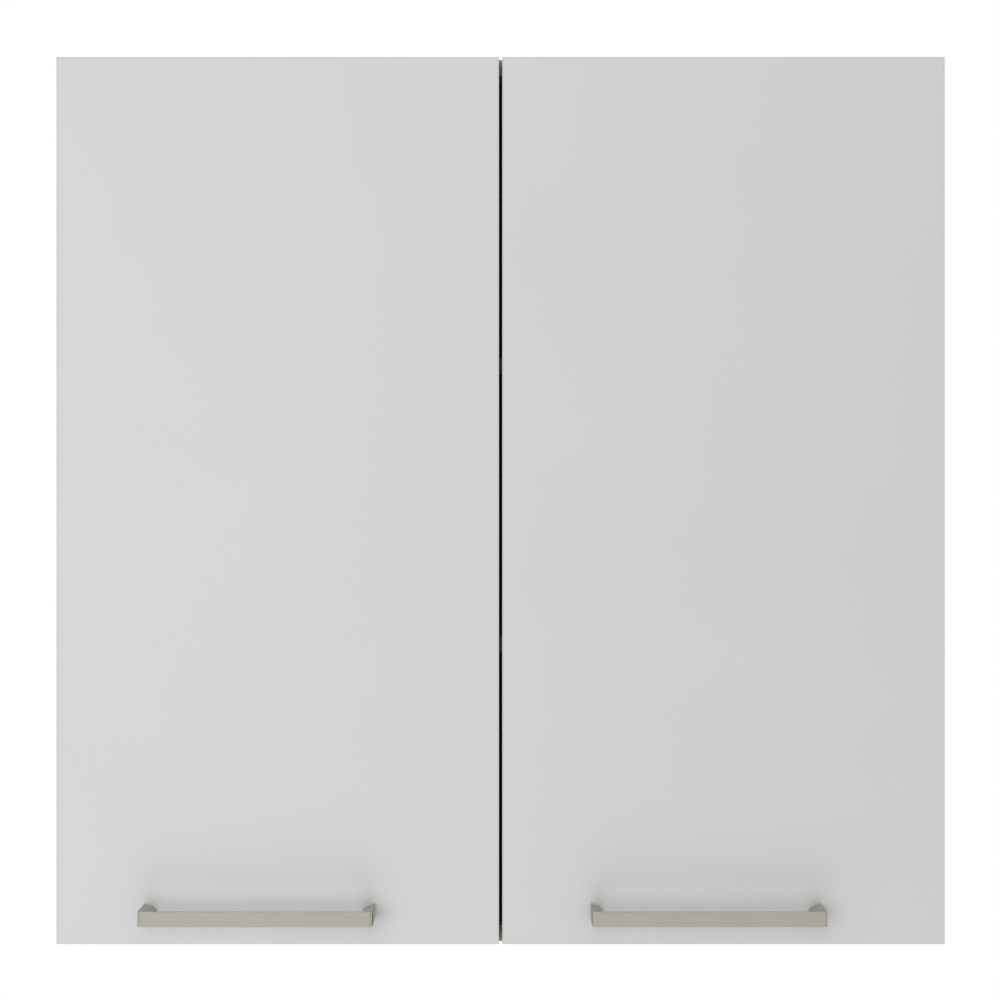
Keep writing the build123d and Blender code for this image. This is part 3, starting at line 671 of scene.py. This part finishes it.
@dataclass(frozen=True)
class MouldedPlastic(Finish):
    """Injection-moulded plastic from a spark-eroded mould: fine even grain and a low sheen.

    Attributes:
        grit_mm: width of the mould's grain, coarser than the real 0.1 mm so that it shows.
        flow_mm: size of the areas that differ slightly in shade.
        depth_mm: depth of the grain.
    """

    ior: float = 1.53
    roughness: float = 0.42
    grit_mm: float = 0.5
    flow_mm: float = 30.0
    depth_mm: float = 0.02

    def paint(self, coat: Coat) -> None:
        """Adds the mould's grain and a slight flow tint.

        Args:
            coat: the material.
        """
        grit = coat.blotches(self.grit_mm, detail=2.0)
        flow = coat.blotches(self.flow_mm, detail=1.0)
        stops = [(0.3, shade(self.colour, 0.96)), (0.7, linear(self.colour))]
        coat.tint(flow, stops)
        coat.vary(grit, self.roughness - 0.05, self.roughness + 0.07)
        coat.bump(grit, self.depth_mm)


@dataclass(frozen=True)
class SoftPad(MouldedPlastic):
    """Cast polyurethane pad: clear and soft, so it glows with the board behind it.

    Attributes:
        transmission: share of the light that goes through.
    """

    roughness: float = 0.18
    transmission: float = 0.75

    def shader_values(self) -> dict[str | int, Any]:
        """Lists the shader's constants, with the pad's clearness.

        Returns:
            Values by input name.
        """
        return {**super().shader_values(), "Transmission Weight": self.transmission}


@dataclass(frozen=True)
class TurnedBeech(Finish):
    """Fluted beech dowel: pale wood with short dark flecks.

    Attributes:
        dark: colour of the flecks.
        fleck_mm: width of a fleck.
        depth_mm: depth of the flecks.
    """

    roughness: float = 0.6
    dark: str = "A07848"
    fleck_mm: float = 0.8
    depth_mm: float = 0.05

    def paint(self, coat: Coat) -> None:
        """Adds flecks along X.

        Args:
            coat: the material.
        """
        flecks = coat.blotches(self.fleck_mm, Grain.ACROSS.value)
        stops = [(0.35, linear(self.dark)), (0.5, linear(self.colour))]
        coat.tint(flecks, stops)
        coat.bump(flecks, self.depth_mm)


@dataclass(frozen=True)
class PaintedFloor(Finish):
    """Studio floor, rolled matt paint: pale, with a hardly visible roller texture.

    Attributes:
        nap_mm: width of the marks that the roller's nap leaves.
        depth_mm: their height.
    """

    roughness: float = 0.8
    nap_mm: float = 4.0
    depth_mm: float = 0.05

    def paint(self, coat: Coat) -> None:
        """Adds the roller's texture.

        Args:
            coat: the material.
        """
        coat.bump(coat.blotches(self.nap_mm), self.depth_mm)


# Board sprayed with matt lacquer: even light grey, no sharp reflection.
DOOR_LACQUER = SprayedLacquer("lacquered_board_sprayed", DOOR_GREY)
# ABS strip in the door's colour: a touch glossier than the lacquer, so the rounded edge catches light.
DOOR_EDGE = SprayedLacquer("door_edging_abs", DOOR_GREY, roughness=0.45, peel_mm=1.0)
# Chipboard pressed with an oak decor: streaked wood on the faces, pressed chips on the sawn edges.
OAK_UPRIGHT = OakMelamine("oak_melamine_upright", OAK_MIDDLE, face=Face.SIDEWAYS)
OAK_ACROSS = OakMelamine("oak_melamine_across", OAK_MIDDLE, grain=Grain.ACROSS, face=Face.UPWARDS)
# Printed strip glued to the front edges: oak print, smoother than the boards, upright at the sides; its
# colours are darker than the boards' as painted shade, for the shade in the gap between the doors.
OAK_EDGING_WITH_PAINTED_SHADE = OakMelamine(
    "oak_edging_printed_painted_shade",
    # Painted shade: this main colour and the light and dark ones below are darker than the boards' oak.
    "7D6146",
    roughness=0.42,
    between_mm=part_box("top_panel")[1].x / MM,
    light="9F8160",
    dark="7B5A3C",
)
# The same kind of strip on the shelves, in the boards' own tone.
OAK_SHELF_EDGING = OakMelamine("oak_shelf_edging_printed", "B48A5C", grain=Grain.ACROSS, roughness=0.42)
# Hard fibre board printed on one side: wood print inside the cabinet, dull brown felt towards the wall.
BACK_BOARD = FibreBoard("fibre_board_printed", OAK_MIDDLE)
# Die-cast zinc under flake lacquer: satin, warm grey, nearly as light from the side as from the front.
HANDLE_COAT = SteelEffectLacquer("zinc_casting_steel_effect_lacquer", "908C82")
# Barrel-plated fasteners: bright and bluish, slightly uneven.
BRIGHT_ZINC = PlatedSteel("steel_zinc_plated", "C4C6C9")
# Tumbled zinc casting: duller and more pitted than the plated steel.
CAST_ZINC = PlatedSteel("zinc_die_cast_tumbled", "A9AAAC", roughness=0.42, ding_mm=0.5, depth_mm=0.02)
# Galvanised sheet: patchy crystals, some bright and some dull.
GALVANISED = HotDipSheet("sheet_steel_galvanised", "B9BCC0")
# Stamped and nickel-plated: mirrors the boards round it, a little blurred and warm.
HINGE_NICKEL = PlatedSteel("steel_stamped_nickel_plated", "C6C4BF", roughness=0.3, cloud_mm=14.0)
# Ground pin: a bright line along its length.
GROUND_PIN = GroundMetal("steel_pin_ground", "C8C8C8")
# Moulded nylon: off-white, fine matt grain.
HANGER_PLASTIC = MouldedPlastic("nylon_moulded_light_grey", "D8D6D0")
# Cast polyurethane: clear dome with one small highlight.
PAD = SoftPad("polyurethane_pad_cast", "E6E4DC")
# Beech: pale, with short dark flecks.
BEECH = TurnedBeech("beech_dowel_fluted", "CFAF82")
# Rolled paint: pale floor without a reflection.
FLOOR = PaintedFloor("floor_paint_rolled", "EFEFEF")

# ---------------------------------------------------------------- mesh tools


def finish_mesh(
    work: bmesh.types.BMesh,
    name: str,
    body: str,
    finish: Finish,
    replaces: Sequence[str],
    sharp_degrees: float,
) -> bpy.types.Object:
    """Turns mesh work into a piece that rides on a body.

    Args:
        work: the mesh, which is freed.
        name: the piece's name.
        body: CAD body that carries it.
        finish: its surface.
        replaces: CAD nodes that it stands for.
        sharp_degrees: edges that turn further than this stay crisp.

    Returns:
        The piece.
    """
    bmesh.ops.recalc_face_normals(work, faces=work.faces)
    for surface in work.faces:
        surface.smooth = True
    for edge in work.edges:
        turn = edge.calc_face_angle(0.0)
        edge.smooth = len(edge.link_faces) == 2 and turn < math.radians(sharp_degrees)
    mesh = bpy.data.meshes.new(name)
    work.to_mesh(mesh)
    work.free()
    mesh.materials.append(finish.material())
    piece = bpy.data.objects.new(name, mesh)
    bpy.context.collection.objects.link(piece)
    weigh = piece.modifiers.new("flat_faces_stay_flat", "WEIGHTED_NORMAL")
    weigh.keep_sharp = True
    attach(piece, body)
    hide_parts(*replaces)
    LOG.info("%s: %d faces on %s, %s", name, len(mesh.polygons), body, finish.name)
    return piece


@dataclass(frozen=True)
class Easing:
    """Rounding of a piece's outer edges.

    Attributes:
        width_mm: width of the rounding.
        shortest_mm: shorter edges stay crisp, such as the facets of a bore.
    """

    width_mm: float
    shortest_mm: float


BOARD_EASING = Easing(0.25, 12.0)
EDGING_EASING = Easing(0.25, 0.8)
PLATE_EASING = Easing(0.4, 1.0)
HANGER_EASING = Easing(0.5, 1.0)


def ease(work: bmesh.types.BMesh, easing: Easing) -> None:
    """Rounds a mesh's outer edges.

    Args:
        work: the mesh.
        easing: width of the rounding, and the edges that it leaves.
    """
    chosen = [
        edge
        for edge in work.edges
        if edge.is_manifold
        and edge.calc_length() > easing.shortest_mm * MM
        and edge.calc_face_angle_signed(0.0) > math.radians(TURN_DEGREES)
    ]
    bmesh.ops.bevel(
        work,
        geom=chosen,
        offset=easing.width_mm * MM,
        offset_type="OFFSET",
        segments=2,
        profile=0.5,
        affect="EDGES",
        clamp_overlap=True,
    )


def cad_mesh(node: str) -> bmesh.types.BMesh:
    """Takes a CAD node's own shape as a clean mesh: seams closed and flat faces whole.

    Args:
        node: name of the CAD node.

    Returns:
        The mesh, in the cabinet's frame.
    """
    work = bmesh.new()
    work.from_mesh(frame["nodes"][node].data)
    bmesh.ops.remove_doubles(work, verts=work.verts, dist=SEAM_MM * MM)
    flat = math.radians(FLAT_DEGREES)
    bmesh.ops.dissolve_limit(work, angle_limit=flat, verts=work.verts, edges=work.edges)
    return work


def add_turned(
    work: bmesh.types.BMesh,
    outline: Sequence[tuple[float, float]],
    start: Point,
    direction: Point,
    steps: int = 32,
) -> None:
    """Adds a turned piece.

    Args:
        work: mesh that gets it.
        outline: radius and place along the axis of each ring, in millimetres; a radius of 0 closes it.
        start: point on the axis where places are counted from, in millimetres.
        direction: way of the axis.
        steps: sides of each ring.
    """
    axis = Vector(direction).normalized()
    across = axis.orthogonal().normalized()
    up = axis.cross(across)
    origin = Vector(start)
    turns = [2 * math.pi * step / steps for step in range(steps)]
    around = [math.cos(turn) * across + math.sin(turn) * up for turn in turns]
    rings: list[list[bmesh.types.BMVert]] = []
    for radius, place in outline:
        centre = origin + axis * place
        if radius == 0:
            rings.append([work.verts.new(centre * MM)])
            continue
        rings.append([work.verts.new((centre + radius * way) * MM) for way in around])
    for first, second in zip(rings, rings[1:]):
        for step in range(steps):
            following = (step + 1) % steps
            corners = [first[step % len(first)], first[following % len(first)]]
            corners += [second[following % len(second)], second[step % len(second)]]
            work.faces.new(dict.fromkeys(corners))


def body_of(node: str) -> str:
    """Names the CAD body that a CAD node belongs to.

    Args:
        node: name of the CAD node.

    Returns:
        The body's name.
    """
    bodies = frame["record"]["behaviour"]["bodies"]
    return next(body for body, nodes in bodies.items() if node in nodes)


def eased_piece(node: str, finish: Finish, easing: Easing) -> bpy.types.Object:
    """Rebuilds a CAD node with rounded edges.

    Args:
        node: name of the CAD node.
        finish: surface of the piece.
        easing: rounding of its edges.

    Returns:
        The piece.
    """
    work = cad_mesh(node)
    ease(work, easing)
    return finish_mesh(work, f"{node}_eased", body_of(node), finish, [node], EASED_DEGREES)


def dress_node(node: str, finish: Finish) -> None:
    """Keeps a CAD node's shape and gives it its finish.

    Args:
        node: name of the CAD node.
        finish: surface of the node.
    """
    for slot in frame["nodes"][node].material_slots:
        slot.material = finish.material()
    LOG.info("%s: CAD shape kept, %s", node, finish.name)


# ---------------------------------------------------------------- sub-assemblies


@dataclass
class Carcass:
    """The box: decor boards, back, front edging, and the dowels and cams that join them.

    Attributes:
        board_easing: rounding of the boards' edges.
        edging_easing: rounding of the edging.
    """

    board_easing: Easing = BOARD_EASING
    edging_easing: Easing = EDGING_EASING

    def build(self) -> None:
        """Builds the boards and edging, and dresses the rest."""
        boards = {f"side_panel_{side.value}": OAK_UPRIGHT for side in Side}
        boards |= {"top_panel": OAK_ACROSS, "bottom_panel": OAK_ACROSS}
        for node, finish in boards.items():
            eased_piece(node, finish, self.board_easing)
        # The front edging's darker oak is painted shade for the gap between the doors.
        eased_piece("carcass_edging", OAK_EDGING_WITH_PAINTED_SHADE, self.edging_easing)
        dress_node("back_panel", BACK_BOARD)
        dress_node("dowels", BEECH)
        dress_node("cam_bolts", BRIGHT_ZINC)
        dress_node("cam_locks", CAST_ZINC)


@dataclass
class Shelves:
    """Two loose shelves with edging, on pins.

    Attributes:
        board_easing: rounding of the shelves' edges.
        edging_easing: rounding of the edging.
    """

    board_easing: Easing = BOARD_EASING
    edging_easing: Easing = EDGING_EASING

    def build(self) -> None:
        """Builds the shelves and edging, and dresses the pins."""
        for level in Level:
            eased_piece(f"shelf_{level.value}", OAK_ACROSS, self.board_easing)
        eased_piece("shelf_edging", OAK_SHELF_EDGING, self.edging_easing)
        dress_node("shelf_pins", BRIGHT_ZINC)


@dataclass
class WallHanger:
    """What hangs one upper corner: plate on the wall, hook, its housing and its cover.

    Attributes:
        side: left or right corner.
        plate_easing: rounding of the wall plate's edges.
        hanger_easing: rounding of the other three.
    """

    side: Side
    plate_easing: Easing = PLATE_EASING
    hanger_easing: Easing = HANGER_EASING

    def build(self) -> None:
        """Builds the four pieces."""
        side = self.side.value
        eased_piece(f"wall_plate_{side}", GALVANISED, self.plate_easing)
        eased_piece(f"hanger_hook_{side}", GALVANISED, self.hanger_easing)
        for part in ("hanger_housing", "hanger_cover"):
            eased_piece(f"{part}_{side}", HANGER_PLASTIC, self.hanger_easing)


@dataclass
class DoorHinges:
    """The two concealed hinges of one door, each with plate, arm, cup, levers, pins and screws.

    Attributes:
        side: left or right door.
        parts: stamped parts of a hinge.
    """

    side: Side
    parts: Sequence[str] = ("plate", "arm", "cup", "long_lever", "short_levers")

    def build(self) -> None:
        """Dresses every part of both hinges."""
        for level in Level:
            for part in self.parts:
                dress_node(f"hinge_{part}_{self.side.value}_{level.value}", HINGE_NICKEL)
        dress_node(f"hinge_cup_pins_{self.side.value}", GROUND_PIN)
        dress_node(f"hinge_cup_screws_{self.side.value}", BRIGHT_ZINC)


@dataclass
class SharedFasteners:
    """Screws and pins that the hinges and hangers of both sides have in common nodes.

    Attributes:
        screws: nodes of plated screws.
        pins: nodes of ground pins.
    """

    screws: Sequence[str] = ("hanger_screws", "hinge_plate_screws", "hinge_arm_screws")
    pins: Sequence[str] = ("hinge_arm_pins",)

    def build(self) -> None:
        """Dresses the nodes."""
        for node in self.screws:
            dress_node(node, BRIGHT_ZINC)
        for node in self.pins:
            dress_node(node, GROUND_PIN)


@dataclass
class BarHandle:
    """A cast bar handle: flat front with sloped ends, rounded behind, and a bow-shaped foot at each end.

    Attributes:
        side: left or right door.
        bar_depth: depth of the bar, front to back.
        flat: straight part of the bar's section behind its front.
        edge: rounding of the front's long edges.
        bevel: length of the slope at each end of the front.
        bevel_drop: how far that slope falls back.
        foot_length: of a foot along the bar.
        foot_ease: rounding of a foot's edges.
        foot_sink: from the bar's front to where a foot starts.
        crisp_degrees: edges of a foot that turn further than this are rounded.
        edge_steps: steps round each long edge.
        half_steps: steps round each half of the bar's back.
        foot_half_steps: steps round each half of a foot.
        smooth_degrees: edges of the handle that turn further than this look crisp.
        finish: surface of the whole handle.
    """

    side: Side
    bar_depth: float = 8.0
    flat: float = 1.4
    edge: float = 0.45
    bevel: float = 2.3
    bevel_drop: float = 1.2
    foot_length: float = 10.7
    foot_ease: float = 0.25
    foot_sink: float = 1.6
    crisp_degrees: float = 60.0
    edge_steps: int = 4
    half_steps: int = 8
    foot_half_steps: int = 10
    smooth_degrees: float = 20.0
    finish: Finish = HANDLE_COAT

    def section(self, half: float, drop: float) -> list[tuple[float, float]]:
        """Draws the outline of the bar's section.

        Args:
            half: half of the bar's height.
            drop: how far this section's front lies behind the handle's front.

        Returns:
            Depth behind the front and height above the middle, all round.
        """
        turns = [math.radians(90 * step / self.edge_steps) for step in range(self.edge_steps + 1)]
        points = [
            (drop + self.edge * (1 - math.sin(turn)), half - self.edge * (1 - math.cos(turn)))
            for turn in turns
        ]
        points += [(deep, -up) for deep, up in reversed(points)]
        sag = self.bar_depth - self.flat
        radius = (half * half + sag * sag) / (2 * sag)
        reach = math.asin(half / radius)
        centre = self.bar_depth - radius
        for step in range(2 * self.half_steps + 1):
            turn = reach * (step / self.half_steps - 1)
            points.append((centre + radius * math.cos(turn), radius * math.sin(turn)))
        return points

    def add_bar(self, work: bmesh.types.BMesh, low: Vector, high: Vector) -> None:
        """Adds the bar.

        Args:
            work: the mesh.
            low: the handle's lowest corner in millimetres.
            high: its highest corner.
        """
        length = high.x - low.x
        half = (high.z - low.z) / 2
        flat_end = length - self.bevel
        stations = ((0.0, self.bevel_drop), (self.bevel, 0.0), (flat_end, 0.0), (length, self.bevel_drop))
        rings = [
            [
                work.verts.new(Vector((low.x + along, low.y + deep, low.z + half + up)) * MM)
                for deep, up in self.section(half, drop)
            ]
            for along, drop in stations
        ]
        for first, second in zip(rings, rings[1:]):
            for step, vert in enumerate(first):
                following = (step + 1) % len(first)
                work.faces.new((vert, first[following], second[following], second[step]))
        work.faces.new(rings[0])
        work.faces.new(rings[-1])

    def add_foot(self, work: bmesh.types.BMesh, low: Vector, high: Vector, inward: int) -> None:
        """Adds one foot.

        Args:
            work: the mesh.
            low: the handle's lowest corner in millimetres.
            high: its highest corner.
            inward: 1 for the left foot, -1 for the right one.
        """
        half = (high.z - low.z) / 2
        end = low.x if inward > 0 else high.x
        shares = [step / self.foot_half_steps - 1 for step in range(2 * self.foot_half_steps + 1)]
        outline = [(end + inward * self.foot_length * (1 - share * share), half * share) for share in shares]
        rings = [
            [work.verts.new(Vector((x, y, low.z + half + up)) * MM) for x, up in outline]
            for y in (low.y + self.foot_sink, high.y)
        ]
        made = [work.faces.new(ring) for ring in rings]
        for step in range(len(outline)):
            following = (step + 1) % len(outline)
            near, far = rings
            made.append(work.faces.new((near[step], near[following], far[following], far[step])))
        crisp = {
            edge
            for surface in made
            for edge in surface.edges
            if edge.is_manifold and edge.calc_face_angle(0.0) > math.radians(self.crisp_degrees)
        }
        width = self.foot_ease * MM
        bmesh.ops.bevel(work, geom=list(crisp), offset=width, segments=2, profile=0.5, affect="EDGES")

    def build(self) -> bpy.types.Object:
        """Builds the handle where the CAD has it.

        Returns:
            The piece.
        """
        node = f"handle_{self.side.value}"
        low, high = (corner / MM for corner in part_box(node))
        work = bmesh.new()
        self.add_bar(work, low, high)
        for inward in (1, -1):
            self.add_foot(work, low, high, inward)
        return finish_mesh(
            work,
            f"bar_{node}",
            body_of(node),
            self.finish,
            [node],
            sharp_degrees=self.smooth_degrees,
        )


@dataclass
class DoorPads:
    """Domed pads that a door lands on.

    Attributes:
        side: left or right door.
        wall: height of a pad's upright rim, as a share of its thickness.
        dome: outline of a pad above its rim, as shares of its radius and its thickness.
        smooth_degrees: edges that turn further than this look crisp.
    """

    side: Side
    wall: float = 0.3
    dome: Sequence[tuple[float, float]] = ((0.97, 0.5), (0.86, 0.75), (0.6, 0.93), (0.3, 0.99), (0, 1))
    smooth_degrees: float = 60.0

    def build(self) -> bpy.types.Object:
        """Builds both pads of the door.

        Returns:
            The piece.
        """
        node = f"door_bumpers_{self.side.value}"
        low, high = (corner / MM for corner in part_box(node))
        radius, thickness = (high.x - low.x) / 2, high.y - low.y
        work = bmesh.new()
        shares = ((0, 0), (1, 0), (1, self.wall), *self.dome)
        outline = [(across * radius, up * thickness) for across, up in shares]
        for height in (low.z + radius, high.z - radius):
            add_turned(work, outline, (low.x + radius, low.y, height), (0, 1, 0))
        name = f"door_pads_{self.side.value}"
        return finish_mesh(work, name, body_of(node), PAD, [node], self.smooth_degrees)


@dataclass
class Door:
    """One door: lacquered panel, edging, pads, and the handle with its screws.

    Attributes:
        side: left or right door.
        edging_easing: rounding of the edging.
    """

    side: Side
    edging_easing: Easing = EDGING_EASING

    def build(self) -> None:
        """Builds the door's pieces, and dresses its panel and screws."""
        side = self.side.value
        dress_node(f"door_panel_{side}", DOOR_LACQUER)
        eased_piece(f"door_edging_{side}", DOOR_EDGE, self.edging_easing)
        BarHandle(self.side).build()
        dress_node(f"handle_screws_{side}", BRIGHT_ZINC)
        DoorPads(self.side).build()


# ---------------------------------------------------------------- studio


@dataclass(frozen=True)
class SoftLight:
    """A flat soft light.

    Attributes:
        name: its name.
        place: where it hangs, in metres.
        target: point that it faces.
        power: in watts.
        width: its side across.
        height: its side upwards.
    """

    name: str
    place: Point
    target: Point
    power: float
    width: float
    height: float

    def build(self) -> None:
        """Hangs the light."""
        data = bpy.data.lights.new(self.name, "AREA")
        data.shape = "RECTANGLE"
        data.energy = self.power
        data.size = self.width
        data.size_y = self.height
        light = bpy.data.objects.new(self.name, data)
        light.location = self.place
        aim = Vector(self.target) - Vector(self.place)
        light.rotation_euler = aim.to_track_quat("-Z", "Y").to_euler()
        light.visible_camera = False
        bpy.context.collection.objects.link(light)


@dataclass
class Studio:
    """Camera, lights, white surroundings and a floor well below the cabinet.

    Attributes:
        lens_mm: focal length on a sensor 36 mm wide.
        distance_m: from the lens to the doors' front.
        floor_drop_m: from the cabinet's underside to the floor.
        floor_size_m: side of the floor.
        lights: the soft lights.
        nudge: sideways and upward shift of the picture, as shares of its width.
    """

    lens_mm: float = 60.0
    distance_m: float = 1.495
    floor_drop_m: float = 2.2
    floor_size_m: float = 12.0
    lights: Sequence[SoftLight] = (
        SoftLight("soft_box_front_left", (-1.0, -2.7, -0.38), (-0.2, -0.34, -0.326), 26.0, 1.4, 2.2),
        SoftLight("strip_above", (-0.1, -1.1, 1.95), (0.0, -0.34, -0.326), 18.0, 1.8, 0.6),
        SoftLight("panel_below", (-0.1, -1.6, -2.4), (0.0, -0.34, -0.326), 12.0, 1.8, 1.2),
    )
    nudge: tuple[float, float] = (-0.0006, 0.0005)

    def build(self) -> None:
        """Builds the studio round the object."""
        low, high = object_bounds()
        self.place_camera(low, high)
        self.place_floor(low)
        for light in self.lights:
            light.build()
        self.whiten_surroundings()

    def place_camera(self, low: Vector, high: Vector) -> None:
        """Places the camera square in front.

        Args:
            low: lowest corner of the object.
            high: its highest corner.
        """
        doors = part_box("door_panel_left")[0]
        data = bpy.data.cameras.new("camera_square_on")
        data.lens = self.lens_mm
        data.sensor_width = 36.0
        data.shift_x, data.shift_y = self.nudge
        camera = bpy.data.objects.new("camera_square_on", data)
        bpy.context.collection.objects.link(camera)
        camera.location = ((low.x + high.x) / 2, doors.y - self.distance_m, (low.z + high.z) / 2)
        camera.rotation_euler = (math.radians(90), 0, 0)
        bpy.context.scene.camera = camera

    def place_floor(self, low: Vector) -> None:
        """Lays the floor.

        Args:
            low: lowest corner of the object.
        """
        work = bmesh.new()
        move = Matrix.Translation((0, low.y, low.z - self.floor_drop_m))
        bmesh.ops.create_grid(work, x_segments=1, y_segments=1, size=self.floor_size_m / 2, matrix=move)
        mesh = bpy.data.meshes.new("studio_floor")
        work.to_mesh(mesh)
        work.free()
        mesh.materials.append(FLOOR.material())
        floor = bpy.data.objects.new("studio_floor", mesh)
        bpy.context.collection.objects.link(floor)
        floor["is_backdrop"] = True

    def whiten_surroundings(self) -> None:
        """Makes the surroundings white and even."""
        world = bpy.data.worlds.new("white_surroundings")
        bpy.context.scene.world = world
        world.use_nodes = True
        background = world.node_tree.nodes["Background"]
        background.inputs["Color"].default_value = (1.0, 1.0, 1.0, 1.0)
        background.inputs["Strength"].default_value = 1.0
        bpy.context.scene.view_settings.view_transform = "Standard"


def main() -> None:
    """Builds the studio and dresses the cabinet, piece by piece."""
    logging.basicConfig(level=logging.INFO, format="%(name)s: %(message)s")
    Studio().build()
    Carcass().build()
    Shelves().build()
    for side in Side:
        WallHanger(side).build()
        DoorHinges(side).build()
        Door(side).build()
    SharedFasteners().build()


if __name__ == "__main__":
    main()
